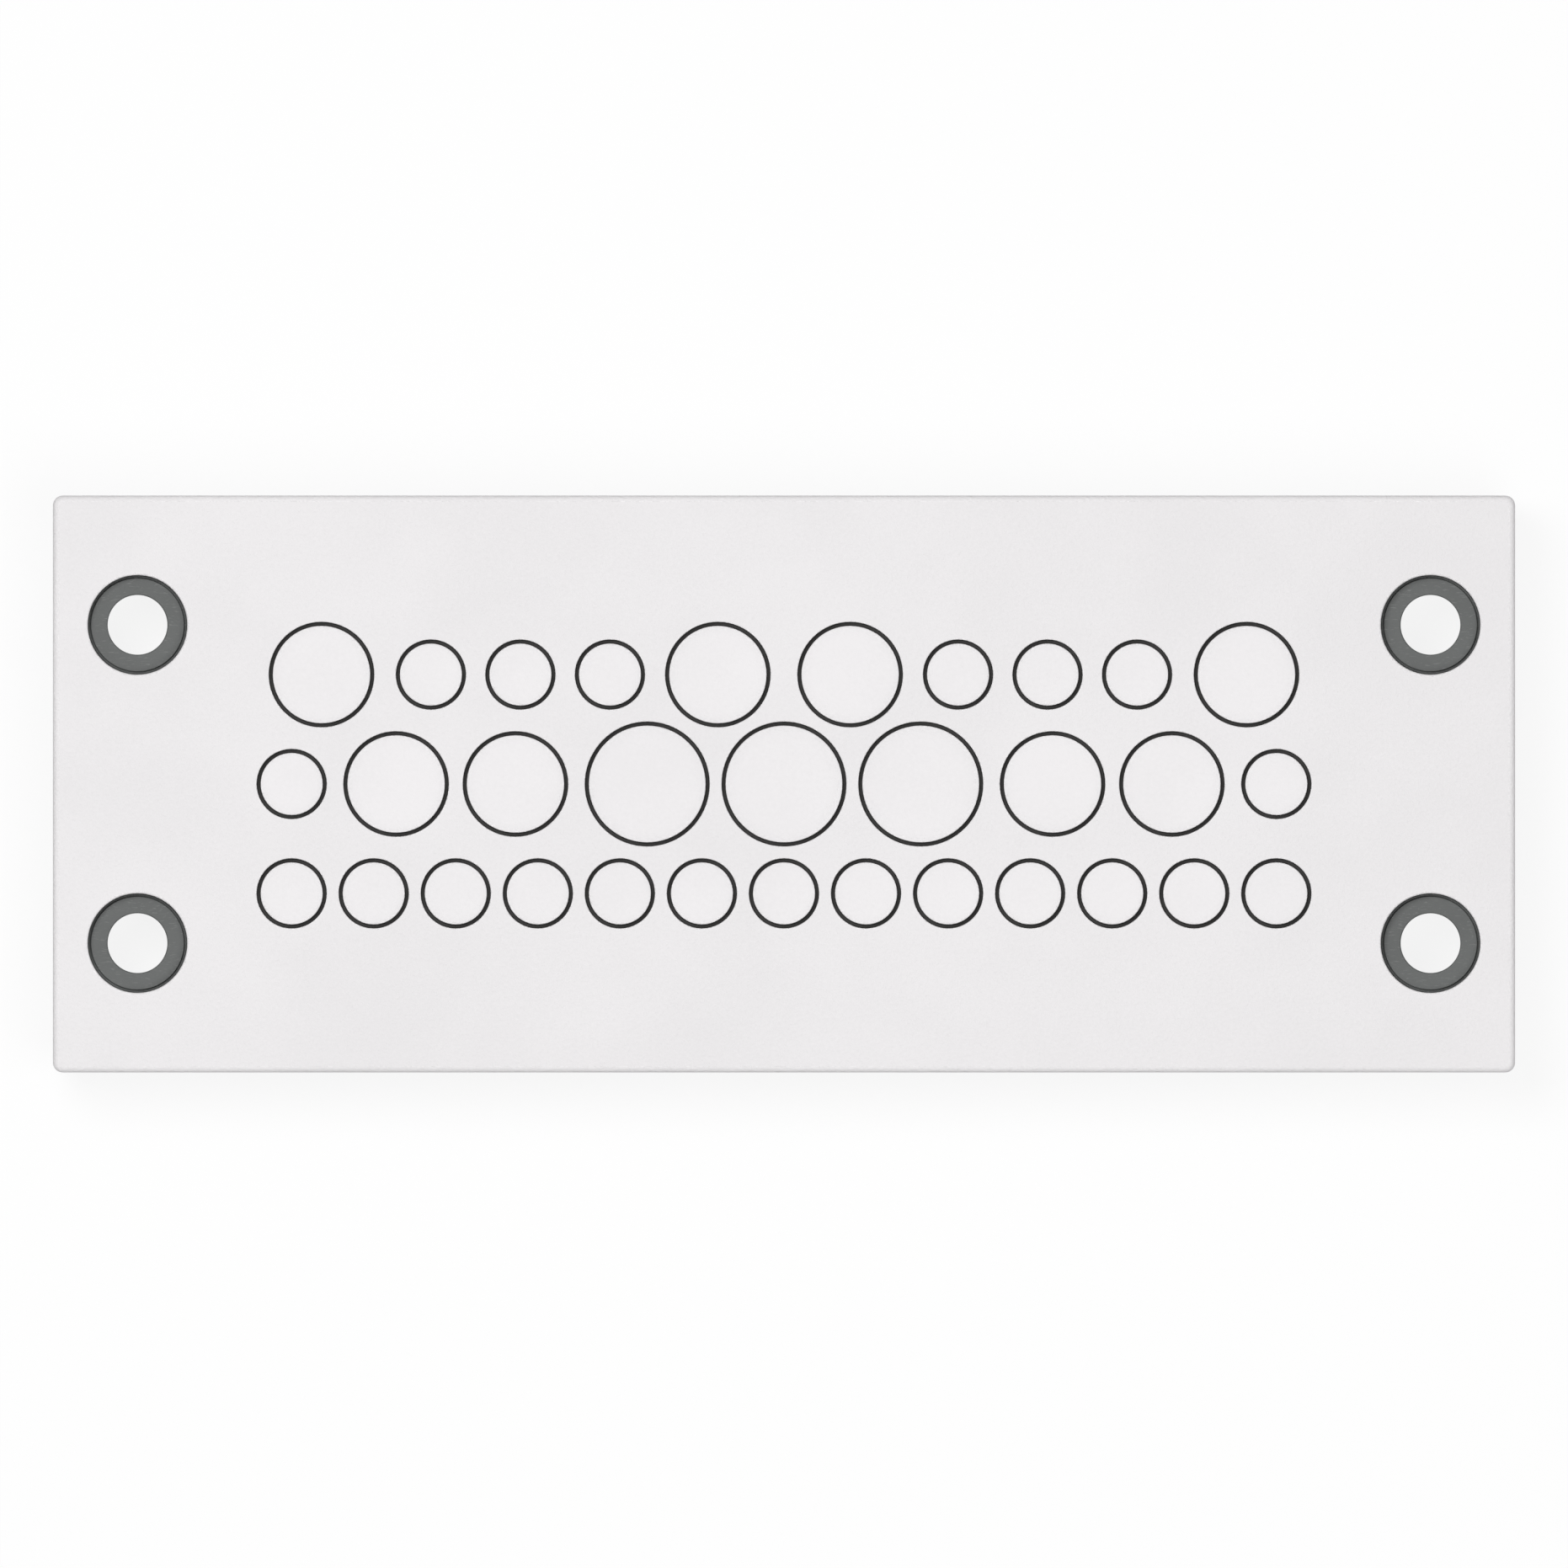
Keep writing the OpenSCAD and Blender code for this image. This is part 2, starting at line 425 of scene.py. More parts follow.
class Wire:
    """A shader socket with arithmetic: each operator adds one Math node to the graph."""

    def __init__(self, graph: "Graph", socket: bpy.types.NodeSocket) -> None:
        """Keeps the socket and the graph it belongs to."""
        self.graph = graph
        self.socket = socket

    def math(self, operation: str, *others: "Wire | float", first: bool = True) -> "Wire":
        """Math node on this wire.

        Args:
            operation: Name of the node's operation.
            others: The other values.
            first: False where this wire is the second value.

        Returns:
            The result as a wire.
        """
        values = [self, *others] if first else [*others, self]
        return self.graph.add("ShaderNodeMath", {"operation": operation}, dict(enumerate(values)))

    def __add__(self, other: "Wire | float") -> "Wire":
        """Sum."""
        return self.math("ADD", other)

    __radd__ = __add__

    def __sub__(self, other: "Wire | float") -> "Wire":
        """Difference."""
        return self.math("SUBTRACT", other)

    def __rsub__(self, other: "Wire | float") -> "Wire":
        """Difference from a number."""
        return self.math("SUBTRACT", other, first=False)

    def __mul__(self, other: "Wire | float") -> "Wire":
        """Product."""
        return self.math("MULTIPLY", other)

    __rmul__ = __mul__

    def swing(self) -> "Wire":
        """This wire less a half, so that a noise goes both ways from nought."""
        return self - 0.5

    def between(self, low: float, high: float) -> "Wire":
        """Goes smoothly from 0 at low to 1 at high."""
        settings = {"interpolation_type": "SMOOTHSTEP"}
        inputs = {"Value": self, "From Min": low, "From Max": high}
        return self.graph.add("ShaderNodeMapRange", settings, inputs)


Value = Wire | float | Sequence[float]


class Graph:
    """Node graph of one material or world."""

    def __init__(self, owner: bpy.types.Material | bpy.types.World) -> None:
        """Empties the owner's node tree and keeps it."""
        owner.use_nodes = True
        self.output = f"ShaderNodeOutput{type(owner).__name__}"
        self.tree = owner.node_tree
        self.tree.nodes.clear()

    def add(
        self,
        kind: str,
        settings: Mapping[str, Any] | None = None,
        inputs: Mapping[str | int, Value] | None = None,
        output: str | int = 0,
    ) -> Wire:
        """Adds a node: its settings are set first, then its sockets get values or links.

        Args:
            kind: Blender's name of the node type.
            settings: Properties of the node.
            inputs: Values or wires by socket name or number.
            output: Name or number of the socket that is returned.

        Returns:
            One output of the node, or its first input where it has no output.
        """
        node = self.tree.nodes.new(kind)
        for name, value in (settings or {}).items():
            setattr(node, name, value)
        for name, value in (inputs or {}).items():
            socket = node.inputs[name]
            if isinstance(value, Wire):
                self.tree.links.new(value.socket, socket)
            else:
                socket.default_value = value
        return Wire(self, node.outputs[output] if len(node.outputs) else node.inputs[0])

    def millimetres(self) -> Wire:
        """Object coordinates in mm."""
        place = self.add("ShaderNodeTexCoord", output="Object")
        return self.add("ShaderNodeVectorMath", {"operation": "SCALE"}, {0: place, "Scale": 1.0 / METRES})

    def noise(self, place: Wire, scale: float, detail: float = 2.0, roughness: float = 0.5) -> Wire:
        """Noise from 0 to 1, with scale in cells per unit of place."""
        inputs = {"Vector": place, "Scale": scale, "Detail": detail, "Roughness": roughness}
        return self.add("ShaderNodeTexNoise", {"noise_dimensions": "3D"}, inputs)

    def mark(self, mark: Mark) -> Wire:
        """Value of a moulding's mark."""
        return self.add("ShaderNodeAttribute", {"attribute_name": mark.value}, output="Fac")

    def blend(self, factor: Wire, a: Value, b: Value) -> Wire:
        """Colour that goes from a to b as factor goes from 0 to 1."""
        settings = {"data_type": "RGBA", "clamp_factor": True}
        return self.add("ShaderNodeMix", settings, {0: factor, 6: a, 7: b}, output=2)

    def bump(self, height: Wire, strength: float) -> Wire:
        """Normal of a surface raised by height in mm."""
        inputs = {"Height": height, "Distance": METRES, "Strength": strength}
        return self.add("ShaderNodeBump", None, inputs)

    def seen(self) -> Wire:
        """1 for rays that show a surface to the camera, also in gloss or through glass, and 0 for others."""
        path = self.add("ShaderNodeLightPath", output="Is Camera Ray")
        rays = path.socket.node.outputs
        shown = path.math("MAXIMUM", Wire(self, rays["Is Glossy Ray"]))
        return shown.math("MAXIMUM", Wire(self, rays["Is Transmission Ray"]))

    def surface(self, shader: Wire) -> None:
        """Links a shader to the output of the material or world."""
        self.add(self.output, None, {"Surface": shader})

    def principled(self, base: Wire, rough: Wire, normal: Wire, gloss: float) -> None:
        """Links a Principled surface to the output, with gloss as its specular level."""
        inputs = {"Base Color": base, "Roughness": rough, "Normal": normal, "Specular IOR Level": gloss}
        self.surface(self.add("ShaderNodeBsdfPrincipled", None, inputs))


def shade(colour: Colour, factor: float = 1.0) -> tuple[float, float, float, float]:
    """Colour times a factor, with full alpha."""
    return (colour[0] * factor, colour[1] * factor, colour[2] * factor, 1.0)


@dataclass(frozen=True)
class ElastomerFinish:
    """Light grey moulded elastomer: a matt grain, smoother on the membranes, and painted shade in the
    grooves.

    A pattern's fields give its size and height in mm, and its share of the tone or the roughness. The painted
    shade in a groove, a near-black tint in place of its shadow, grows from none to full between two shares of
    the groove's depth.
    """

    colour: Colour = (0.855, 0.838, 0.847)
    shades: Span = (0.975, 1.02)
    # Painted shade in the grooves: its near-black colour, the depths over which it grows, and how the clouds
    # vary it
    dust: Colour = (0.05, 0.049, 0.048)
    dust_depth: Span = (0.05, 0.6)
    dust_even: float = 0.85
    dust_drift: float = 0.3
    grain_mm: float = 0.22
    grain_height: float = 0.09
    grain_rough: float = 0.12
    speck_mm: float = 0.4
    speck_height: float = 0.06
    speck_tone: float = 0.3
    cloud_mm: float = 14.0
    cloud_tone: float = 0.7
    cloud_rough: float = 0.16
    wave_mm: float = 24.0
    wave_height: float = 0.22
    groove_rough: float = 0.2
    membrane_smooth: float = 0.1
    membrane_calm: float = 0.7
    roughness: float = 0.62
    gloss: float = 0.24
    bump: float = 0.8

    def material(self) -> bpy.types.Material:
        """Builds the material.

        Returns:
            A Principled surface whose colour, roughness and normal vary in object space and with the marks.
        """
        material = bpy.data.materials.new("elastomer")
        g = Graph(material)
        mm = g.millimetres()
        grain = g.noise(mm, 1.0 / self.grain_mm, detail=3.0, roughness=0.6)
        speck = g.noise(mm, 1.0 / self.speck_mm, detail=1.0)
        cloud = g.noise(mm, 1.0 / self.cloud_mm, detail=3.0, roughness=0.55)
        wave = g.noise(mm, 1.0 / self.wave_mm, detail=1.0)
        groove, membrane = g.mark(Mark.GROOVE), g.mark(Mark.MEMBRANE)
        tone = cloud * self.cloud_tone + speck * self.speck_tone
        dark, pale = [shade(self.colour, factor) for factor in self.shades]
        body = g.blend(tone.between(*NOISE_RANGE), dark, pale)
        # Painted shade: each groove darkens towards near black with its depth, in place of the shadow inside
        # it
        painted_groove_shade = groove * (self.dust_even + cloud * self.dust_drift)
        base = g.blend(painted_groove_shade.between(*self.dust_depth), body, shade(self.dust))
        rough = self.roughness + cloud.swing() * self.cloud_rough + grain.swing() * self.grain_rough
        rough = rough + groove * self.groove_rough - membrane * self.membrane_smooth
        texture = grain.swing() * self.grain_height + speck.swing() * self.speck_height
        height = texture * (1.0 - membrane * self.membrane_calm) + wave.swing() * self.wave_height
        g.principled(base, rough, g.bump(height, self.bump), self.gloss)
        return material


@dataclass(frozen=True)
class PolyamideFinish:
    """Dark grey glass-filled polyamide: a fine grain, short pale fibres along the flow, and faint clouds.

    A pattern's fields give its size and height in mm, and its share of the tone or the roughness. A fibre
    grows from none to full as its noise goes over fibre_range.
    """

    colour: Colour = (0.108, 0.113, 0.111)
    shades: Span = (0.93, 1.07)
    fibre: Colour = (0.24, 0.245, 0.24)
    fibre_mm: tuple[float, float, float] = (0.9, 0.11, 0.11)
    fibre_range: Span = (0.60, 0.74)
    fibre_height: float = 0.003
    fibre_tone: float = 0.35
    fibre_smooth: float = 0.06
    swirl_mm: float = 3.3
    grain_mm: float = 0.18
    grain_height: float = 0.012
    grain_rough: float = 0.14
    cloud_mm: float = 6.0
    cloud_rough: float = 0.14
    roughness: float = 0.50
    gloss: float = 0.26
    bump: float = 0.8

    def material(self) -> bpy.types.Material:
        """Builds the material.

        Returns:
            A Principled surface whose colour, roughness and normal vary in object space.
        """
        material = bpy.data.materials.new("polyamide")
        g = Graph(material)
        mm = g.millimetres()
        grain = g.noise(mm, 1.0 / self.grain_mm, detail=3.0, roughness=0.6)
        cloud = g.noise(mm, 1.0 / self.cloud_mm, detail=3.0)
        drift = {"Vector": mm, "Scale": 1.0 / self.swirl_mm}
        swirl = g.add("ShaderNodeTexNoise", None, drift, output="Color")
        bent = g.add("ShaderNodeVectorMath", {"operation": "ADD"}, {0: mm, 1: swirl})
        along = g.add("ShaderNodeVectorMath", {"operation": "DIVIDE"}, {0: bent, 1: self.fibre_mm})
        fibre = g.noise(along, scale=1.0, detail=1.0).between(*self.fibre_range)
        dark, pale = [shade(self.colour, factor) for factor in self.shades]
        body = g.blend(cloud.between(*NOISE_RANGE), dark, pale)
        base = g.blend(fibre * self.fibre_tone, body, shade(self.fibre))
        rough = self.roughness + cloud.swing() * self.cloud_rough + grain.swing() * self.grain_rough
        rough = rough - fibre * self.fibre_smooth
        height = grain.swing() * self.grain_height + fibre * self.fibre_height
        g.principled(base, rough, g.bump(height, self.bump), self.gloss)
        return material


@dataclass(frozen=True)
class EntryField:
    """The pattern of cable entries: three rows, the same on both sides of the middle."""

    row_pitch: float = 11.0
    bottom_pitch: float = 8.25
    bottom_count: int = 13
    large_pitch: float = 13.75
    middle_medium_x: tuple[float, float] = (27.0, 39.0)
    middle_end_x: float = 49.5
    top_medium_x: tuple[float, float] = (6.65, 46.5)
    top_small_x: tuple[float, float, float] = (17.5, 26.5, 35.5)

    def entries(self) -> list[Entry]:
        """Lists every entry, row by row from the top.

        Returns:
            The entries with their middles in mm.
        """
        top, bottom = self.row_pitch, -self.row_pitch
        both = (-1.0, 1.0)
        spread = np.arange(self.bottom_count) - (self.bottom_count - 1) / 2.0
        found = [Entry(s * x, top, EntrySize.MEDIUM) for s in both for x in self.top_medium_x]
        found += [Entry(s * x, top, EntrySize.SMALL) for s in both for x in self.top_small_x]
        found += [Entry(i * self.large_pitch, 0.0, EntrySize.LARGE) for i in (-1.0, 0.0, 1.0)]
        found += [Entry(s * x, 0.0, EntrySize.MEDIUM) for s in both for x in self.middle_medium_x]
        found += [Entry(s * self.middle_end_x, 0.0, EntrySize.SMALL) for s in both]
        found += [Entry(i * self.bottom_pitch, bottom, EntrySize.SMALL) for i in spread.tolist()]
        return found


@dataclass(frozen=True)
class PlateSizes:
    """Sizes that the mat and the core share. Z = 0 is the panel's face, and the front looks towards +Z."""

    length: float = 147.0
    width: float = 58.0
    flange: float = 8.0
    skin: float = 1.6
    rim: float = 1.5
    core_r: float = 0.6
    gasket: float = 1.2
    spigot_l: float = 111.2
    spigot_w: float = 35.2
    spigot_r: float = 3.0
    web: float = 4.0
    screw_pitch_x: float = 130.0
    screw_pitch_y: float = 32.0
    seat_r: float = 5.0
    boss_r: float = 5.5
    setback: float = 0.3
    screw_steps: int = 72
    pattern: EntryField = field(default_factory=EntryField)

    @property
    def core_top(self) -> float:
        """Height of the core's front face, where the skin begins."""
        return self.flange - self.skin

    @property
    def tray_floor(self) -> float:
        """Height of the core's back round the cable holes."""
        return self.core_top - self.web

    def core_hole(self, entry: Entry) -> float:
        """Radius of the core's cable hole behind an entry."""
        return entry.size.value / 2.0 + self.setback

    def core_outline(self) -> Path2D:
        """Path round the core's flange."""
        return oblong(self.length - 2.0 * self.rim, self.width - 2.0 * self.rim, self.core_r)

    def spigot_outline(self) -> Path2D:
        """Path round the spigot."""
        return oblong(self.spigot_l, self.spigot_w, self.spigot_r)

    def screw_rings(self) -> list[Path2D]:
        """Rings round the middles of the screw holes."""
        x, y = self.screw_pitch_x / 2.0, self.screw_pitch_y / 2.0
        return [ring(i * x, j * y, self.screw_steps) for i in (-1.0, 1.0) for j in (-1.0, 1.0)]


@dataclass
class MembraneMat:
    """The soft mat: front skin, rim, gasket with its bead, and a membrane over each cable hole."""

    plate: PlateSizes = field(default_factory=PlateSizes)
    corner_r: float = 1.0
    edge_r: float = 0.6
    foot_r: float = 0.25
    bead_r: float = 0.5
    bead_offset: float = 2.0
    seat_lip: float = 0.2
    groove_w: float = 0.4
    groove_depth: float = 0.7
    groove_lip: float = 0.1
    membrane_thin: float = 0.9
    pierce_r: float = 0.4
    dish: float = 0.1
    lip_steps: int = 2
    floor_steps: int = 6
    dish_steps: int = 5
    cone_steps: int = 3
    foot_steps: int = 4
    side_steps: int = 2
    edge_steps: int = 8
    bead_steps: int = 10
    seat_lip_steps: int = 4
    finish: ElastomerFinish = field(default_factory=ElastomerFinish)

    def membrane_front(self, entry: Entry) -> tuple[Patch, Floats]:
        """Groove and membrane of one entry, turned about its axis.

        The section is a lip, a wall, the half-round floor, a wall, a lip and the dish.

        Args:
            entry: The cable entry.

        Returns:
            The surface, and the loop where it meets the front skin.
        """
        r, half, lip, top = entry.size.value / 2.0, self.groove_w / 2.0, self.groove_lip, self.plate.flange
        floor = top - self.groove_depth + half
        edge = r - half - lip
        channel = (
            bend((r + half + lip, top - lip), lip, 90.0, 180.0, self.lip_steps)
            + straight((r + half, top - lip), (r + half, floor))
            + bend((r, floor), half, 0.0, -180.0, self.floor_steps)
            + straight((r - half, floor), (r - half, top - lip))
            + bend((edge, top - lip), lip, 0.0, 90.0, self.lip_steps)
        )
        front = dished(edge, top, self.dish, self.dish_steps)
        # Depth into the groove, which the finish reads for its roughness and for its painted shade
        depth = (top - channel.points[:, 1]) / self.groove_depth
        marks = {
            Mark.GROOVE: np.concatenate((depth, np.zeros(len(front.points)))),
            Mark.MEMBRANE: np.concatenate((np.zeros(len(channel.points)), np.ones(len(front.points)))),
        }
        path = entry.path()
        return carry(channel + front, path, marks), path.loop(r + half + lip)

    def membrane_back(self, entry: Entry) -> tuple[Patch, Floats]:
        """Back of one membrane, turned about its axis: a level thin middle and a cone to the core's hole.

        Args:
            entry: The cable entry.

        Returns:
            The surface, and the loop where it meets the back of the skin.
        """
        plate = self.plate
        rim, low, peak = plate.core_hole(entry), plate.core_top, plate.flange - self.membrane_thin
        section = (
            straight((0.0, peak), (self.pierce_r, peak))
            + straight((self.pierce_r, peak), (rim, low), self.cone_steps)
        )
        path = entry.path()
        return carry(section, path), path.loop(rim)

    def outside(self, outline: Path2D) -> Patch:
        """Outside of the mat, carried round the outline: the foot's small round, the side and the front edge.

        Args:
            outline: Path round the plate.

        Returns:
            The surface.
        """
        r, foot, edge, top = self.corner_r, self.foot_r, self.edge_r, self.plate.flange
        section = (
            bend((r - foot, foot), foot, 270.0, 360.0, self.foot_steps)
            + straight((r, foot), (r, top - edge), self.side_steps)
            + bend((r - edge, top - edge), edge, 0.0, 90.0, self.edge_steps)
        )
        return carry(section, outline)

    def gasket(self, outline: Path2D) -> list[Patch]:
        """Gasket: its face with the half-round bead, the edges of its openings, and its side on the core.

        The bead runs round the spigot at one distance from it.

        Args:
            outline: Path round the plate.

        Returns:
            The surfaces.
        """
        plate = self.plate
        spigot, bosses, top = plate.spigot_outline(), plate.screw_rings(), plate.gasket
        middle, half = plate.spigot_r + self.bead_offset, self.bead_r
        inlet, holes = spigot.loop(plate.spigot_r), [b.loop(plate.boss_r) for b in bosses]
        core = plate.core_outline().loop(plate.core_r)
        boss_edge = straight((plate.boss_r, top), (plate.boss_r, 0.0))
        spigot_edge = straight((plate.spigot_r, top), (plate.spigot_r, 0.0))
        bead = bend((middle, 0.0), half, 180.0, 360.0, self.bead_steps)
        return [
            *[carry(boss_edge, b) for b in bosses],
            carry(spigot_edge, spigot),
            carry(bead, spigot),
            flat(outline.loop(self.corner_r - self.foot_r), [*holes, spigot.loop(middle + half)], 0.0, False),
            flat(spigot.loop(middle - half), [inlet], 0.0, False),
            flat(core, [inlet, *holes], top, True),
        ]

    def skin(self, outline: Path2D, fronts: Sequence[Floats], backs: Sequence[Floats]) -> list[Patch]:
        """Skin: its front, the recesses down to the screw seats, its back, and the wall round the core.

        Args:
            outline: Path round the plate.
            fronts: Loops where the membranes' grooves meet the front.
            backs: Loops where the membranes' backs meet the back of the skin.

        Returns:
            The surfaces.
        """
        plate = self.plate
        seats, top, low, lip = plate.screw_rings(), plate.flange, plate.core_top, self.seat_lip
        core, wall = plate.core_outline(), plate.seat_r
        recess = (
            bend((wall + lip, top - lip), lip, 90.0, 180.0, self.seat_lip_steps)
            + straight((wall, top - lip), (wall, low))
        )
        front_holes = [*fronts, *[s.loop(wall + lip) for s in seats]]
        back_holes = [*backs, *[s.loop(wall) for s in seats]]
        return [
            *[carry(recess, s) for s in seats],
            carry(straight((plate.core_r, low), (plate.core_r, plate.gasket)), core),
            flat(outline.loop(self.corner_r - self.edge_r), front_holes, top, True),
            flat(core.loop(plate.core_r), back_holes, low, False),
        ]

    def build(self) -> bpy.types.Object:
        """Builds the mat as one closed mesh and dresses it.

        Returns:
            The mat's object, which stands for the CAD mat.
        """
        entries = self.plate.pattern.entries()
        fronts, front_loops = zip(*[self.membrane_front(e) for e in entries])
        backs, back_loops = zip(*[self.membrane_back(e) for e in entries])
        outline = oblong(self.plate.length, self.plate.width, self.corner_r)
        patches = [
            *fronts,
            *backs,
            self.outside(outline),
            *self.gasket(outline),
            *self.skin(outline, front_loops, back_loops),
        ]
        piece = moulding("mat", patches)
        piece.data.materials.append(self.finish.material())
        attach(piece, "root")
        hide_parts("membrane_mat")
        LOG.info("mat: %d entries, %d faces", len(entries), len(piece.data.polygons))
        return piece


@dataclass
class CorePlate:
    """The stiff core: a flange inside the mat, the spigot with its tray, screw bosses and cable holes."""

    plate: PlateSizes = field(default_factory=PlateSizes)
    spigot_end: float = -6.0
    spigot_wall: float = 0.9
    lead: float = 0.6
    edge_r: float = 0.15
    screw_r: float = 3.0
    shut_off_w: float = 0.34
    shut_off_depth: float = 0.45
    hole_bevel: float = 0.15
    edge_steps: int = 3
    floor_steps: int = 6
    straight_steps: int = 2
    spigot_steps: int = 3
    finish: PolyamideFinish = field(default_factory=PolyamideFinish)

    def screw_boss(self, path: Path2D) -> Patch:
        """Screw seat, hole and boss, turned about the screw's axis.

        The seat begins with the fine groove where the mat shuts off: two walls and a half-round floor. The
        edges of the hole and the boss are quarter rounds.

        Args:
            path: Ring round the screw's axis.

        Returns:
            The surface from the core's front to the flange's back.
        """
        r, e, boss, plate = self.screw_r, self.edge_r, self.plate.boss_r, self.plate
        top, rim, half = plate.core_top, plate.seat_r, self.shut_off_w / 2.0
        floor, ledge = top - self.shut_off_depth + half, rim - self.shut_off_w
        section = (
            straight((rim, top), (rim, floor))
            + bend((rim - half, floor), half, 0.0, -180.0, self.floor_steps)
            + straight((ledge, floor), (ledge, top))
            + straight((ledge, top), (r + e, top), self.straight_steps)
            + bend((r + e, top - e), e, 90.0, 180.0, self.edge_steps)
            + straight((r, top - e), (r, e), self.straight_steps)
            + bend((r + e, e), e, 180.0, 270.0, self.edge_steps)
            + straight((r + e, 0.0), (boss - e, 0.0))
            + bend((boss - e, e), e, 270.0, 360.0, self.edge_steps)
            + straight((boss, e), (boss, plate.gasket))
        )
        return carry(section, path)

    def spigot(self) -> Patch:
        """Spigot's wall: inside, rounded edge, end face, lead-in bevel, and outside up to the flange.

        Returns:
            The surface from the tray's floor to the flange's back.
        """
        r, end, e, plate = self.plate.spigot_r, self.spigot_end, self.edge_r, self.plate
        inner = r - self.spigot_wall
        section = (
            straight((inner, plate.tray_floor), (inner, end + e), self.spigot_steps)
            + bend((inner + e, end + e), e, 180.0, 270.0, self.edge_steps)
            + straight((inner + e, end), (r - self.lead, end))
            + straight((r - self.lead, end), (r, end + self.lead))
            + straight((r, end + self.lead), (r, plate.gasket), self.spigot_steps)
        )
        return carry(section, plate.spigot_outline())

    def cable_hole(self, entry: Entry) -> Patch:
        """Cable hole, turned about its axis: a straight wall, then the bevel round its rear mouth.

        Args:
            entry: The cable entry.

        Returns:
            The surface from the core's front to the tray's floor.
        """
        r, bevel, floor = self.plate.core_hole(entry), self.hole_bevel, self.plate.tray_floor
        section = (
            straight((r, self.plate.core_top), (r, floor + bevel), self.straight_steps)
            + straight((r, floor + bevel), (r + bevel, floor))
        )
        return carry(section, entry.path())

    def build(self) -> bpy.types.Object:
        """Builds the core as one closed mesh and dresses it.

        Returns:
            The core's object, which stands for the CAD core.
        """
        plate = self.plate
        entries, screws, flange = plate.pattern.entries(), plate.screw_rings(), plate.core_outline()
        top, floor, back, r = plate.core_top, plate.tray_floor, plate.gasket, plate.core_r
        holes = [e.path().loop(plate.core_hole(e)) for e in entries]
        mouths = [e.path().loop(plate.core_hole(e) + self.hole_bevel) for e in entries]
        tray = plate.spigot_outline().loop(plate.spigot_r - self.spigot_wall)
        bosses = [s.loop(plate.boss_r) for s in screws]
        patches = [
            *[self.cable_hole(e) for e in entries],
            *[self.screw_boss(s) for s in screws],
            self.spigot(),
            carry(straight((r, back), (r, top)), flange),
            flat(flange.loop(r), [*holes, *[s.loop(plate.seat_r) for s in screws]], top, True),
            flat(flange.loop(r), [plate.spigot_outline().loop(plate.spigot_r), *bosses], back, False),
            flat(tray, mouths, floor, False),
        ]
        piece = moulding("core", patches)
        piece.data.materials.append(self.finish.material())
        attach(piece, "root")
        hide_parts("core_plate")
        LOG.info("core: %d screw bosses, %d faces", len(screws), len(piece.data.polygons))
        return piece


@dataclass(frozen=True)
class Lamp:
    """A round lamp turned to the origin: its place and width in metres, and its power in watts."""

    place: tuple[float, float, float]
    size: float
    power: float


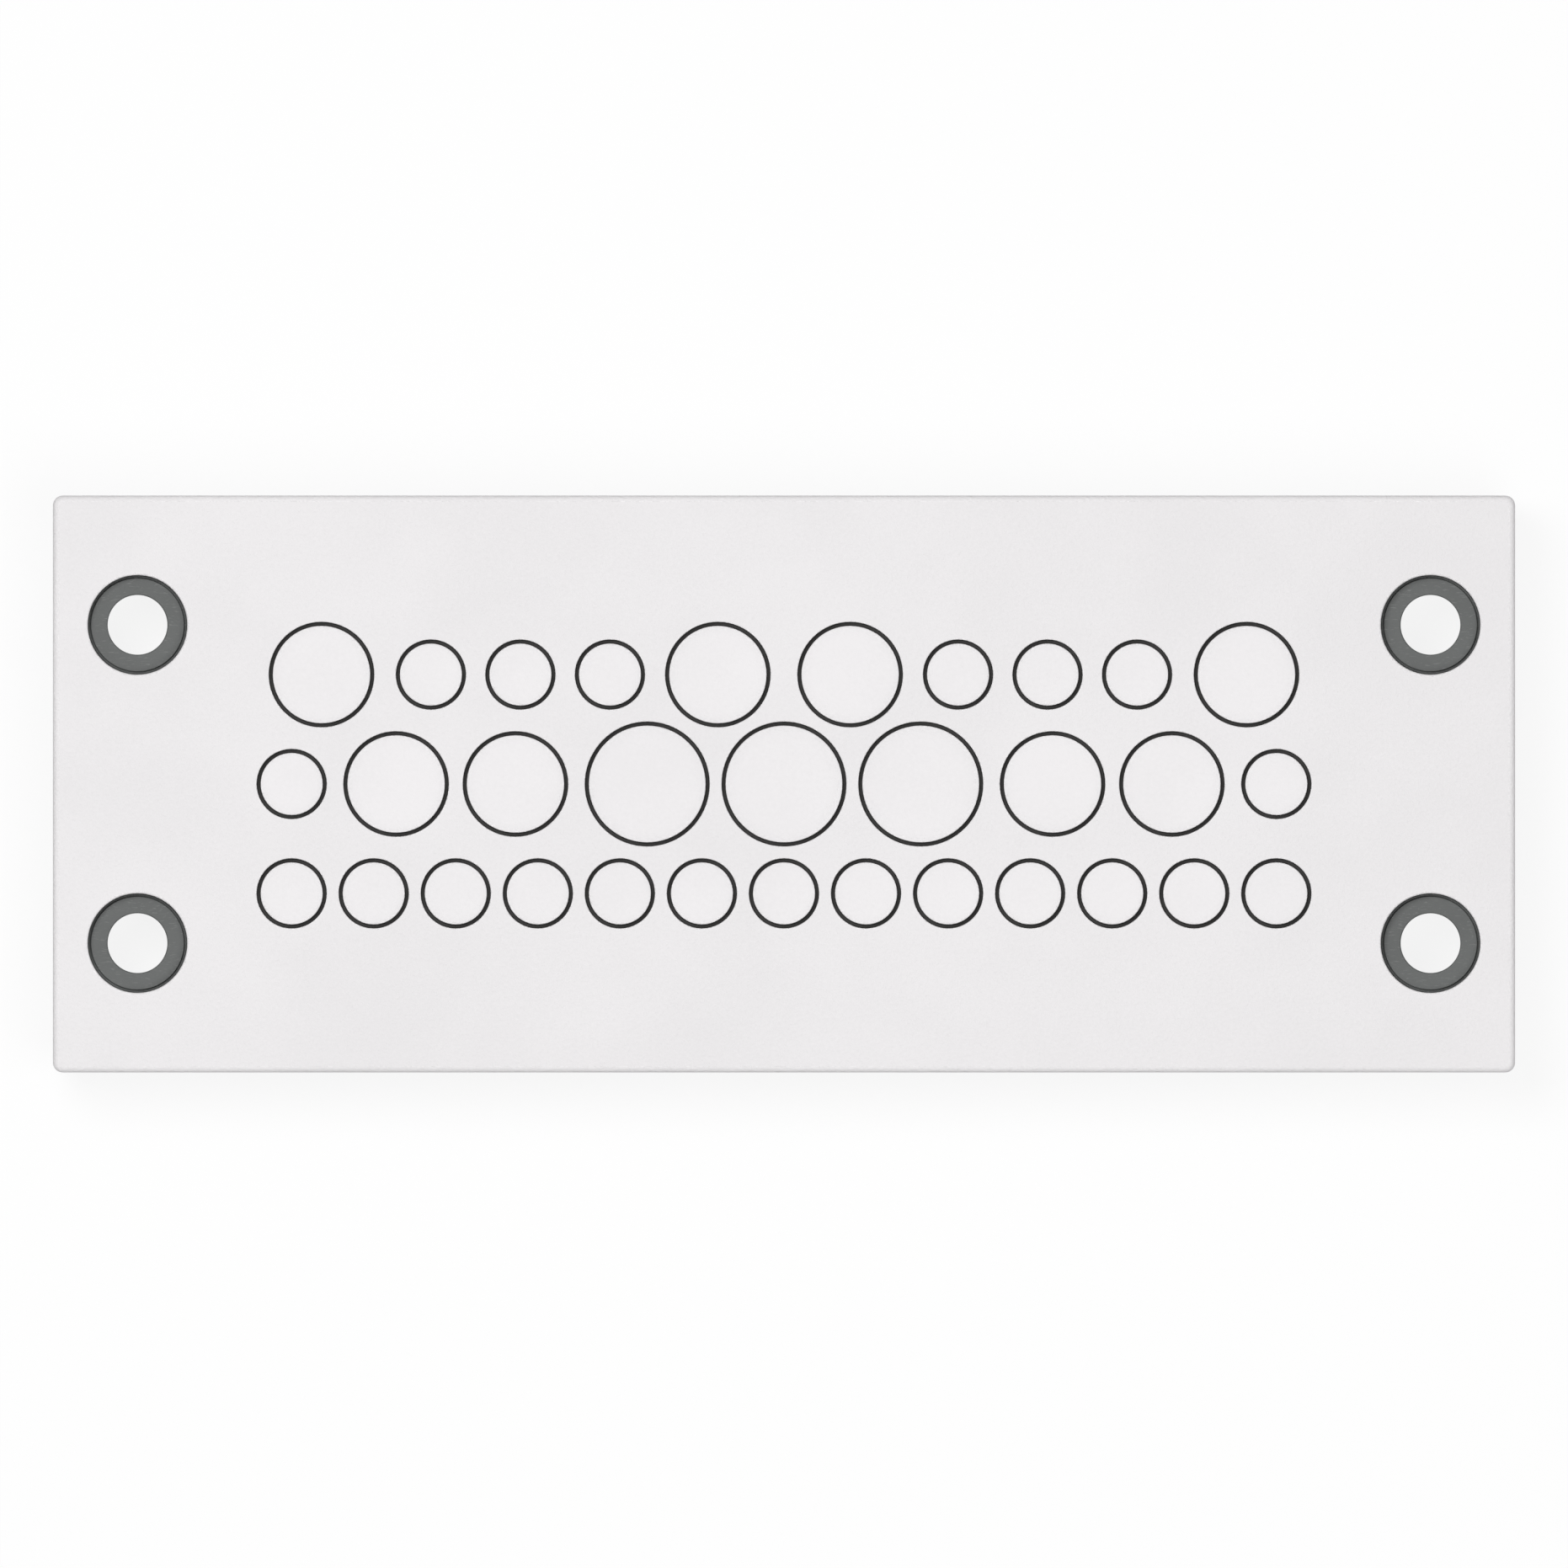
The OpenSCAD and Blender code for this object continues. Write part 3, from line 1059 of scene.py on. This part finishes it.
@dataclass
class Studio:
    """Pale floor, soft light, and a camera that looks straight down on the plate as the drawing does.

    Lengths are in metres, apart from the scale of the drawing.
    """

    floor_half: float = 3.0
    floor_points: int = 9
    floor_height: float = -0.006
    floor_pale: Colour = (0.55, 0.55, 0.55)
    floor_white: Colour = (0.97, 0.97, 0.97)
    floor_glow: float = 0.86
    world_strength: float = 0.25
    picture_px: float = 1862.0
    px_per_mm: float = 11.811
    camera_height: float = 0.6
    camera_clip: Span = (0.01, 20.0)
    lamps: tuple[Lamp, ...] = (
        Lamp((-0.30, 0.26, 1.08), 0.5, 6.5),
        Lamp((0.30, -0.26, 1.08), 0.7, 4.3),
    )

    @property
    def view_width(self) -> float:
        """Width of the whole drawing at its own scale."""
        return self.picture_px / self.px_per_mm * METRES

    def floor(self) -> bpy.types.Object:
        """Level square under the plate: a grid of points at one height.

        Returns:
            The floor's object.
        """
        side = np.linspace(-self.floor_half, self.floor_half, self.floor_points)
        x, y = np.meshgrid(side, side)
        points = np.stack((x.ravel(), y.ravel(), np.full(x.size, self.floor_height)), axis=1)
        grid = np.arange(x.size).reshape(x.shape)
        quads = np.stack((grid[:-1, :-1], grid[:-1, 1:], grid[1:, 1:], grid[1:, :-1]), axis=-1).reshape(-1, 4)
        mesh = bpy.data.meshes.new("floor")
        mesh.from_pydata(points.tolist(), [], quads.tolist())
        piece = bpy.data.objects.new("floor", mesh)
        bpy.context.scene.collection.objects.link(piece)
        mesh.materials.append(self.floor_material())
        return piece

    def floor_material(self) -> bpy.types.Material:
        """Matt floor: pale grey to bounced light, and near white to the camera, mostly by its own glow.

        The share that doesn't glow takes the plate's shadow.

        Returns:
            The floor's material.
        """
        material = bpy.data.materials.new("floor")
        g = Graph(material)
        pale = g.add("ShaderNodeBsdfDiffuse", None, {"Color": shade(self.floor_pale)})
        white = g.add("ShaderNodeBsdfDiffuse", None, {"Color": shade(self.floor_white)})
        glow = g.add("ShaderNodeEmission", None, {"Color": shade(WHITE), "Strength": 1.0})
        shown = g.add("ShaderNodeMixShader", None, {0: self.floor_glow, 1: white, 2: glow})
        g.surface(g.add("ShaderNodeMixShader", None, {0: g.seen(), 1: pale, 2: shown}))
        return material

    def light(self) -> None:
        """Sets an even pale world, white to the camera, and the soft lamps above."""
        world = bpy.data.worlds.new("studio")
        bpy.context.scene.world = world
        g = Graph(world)
        strength = self.world_strength + g.seen() * (1.0 - self.world_strength)
        g.surface(g.add("ShaderNodeBackground", None, {"Color": shade(WHITE), "Strength": strength}))
        for number, lamp in enumerate(self.lamps):
            name = f"lamp_{number}"
            light = bpy.data.lights.new(name, "AREA")
            light.shape, light.size, light.energy = "DISK", lamp.size, lamp.power
            holder = bpy.data.objects.new(name, light)
            holder.location = lamp.place
            holder.rotation_euler = Vector(lamp.place).to_track_quat("Z", "Y").to_euler()
            bpy.context.scene.collection.objects.link(holder)

    def camera(self) -> None:
        """Puts the camera straight above the plate's middle, with no perspective."""
        lens = bpy.data.cameras.new("camera")
        lens.type, lens.ortho_scale = "ORTHO", self.view_width
        lens.clip_start, lens.clip_end = self.camera_clip
        holder = bpy.data.objects.new("camera", lens)
        holder.location = (0.0, 0.0, self.camera_height)
        bpy.context.scene.collection.objects.link(holder)
        bpy.context.scene.camera = holder

    def build(self) -> None:
        """Builds the floor, the light and the camera."""
        self.floor()
        self.light()
        self.camera()
        bpy.context.scene.view_settings.view_transform = "Standard"
        LOG.info("studio: floor, %d lamps, camera", len(self.lamps))


def corners(box: Sequence[Sequence[float]]) -> list[list[float]]:
    """Box as plain lists of numbers."""
    return [[float(value) for value in corner] for corner in box]


def main() -> None:
    """Builds the pieces in order and reports each."""
    logging.basicConfig(level=logging.INFO, format="%(message)s")
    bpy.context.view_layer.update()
    MembraneMat().build()
    CorePlate().build()
    Studio().build()


if __name__ == "__main__":
    main()
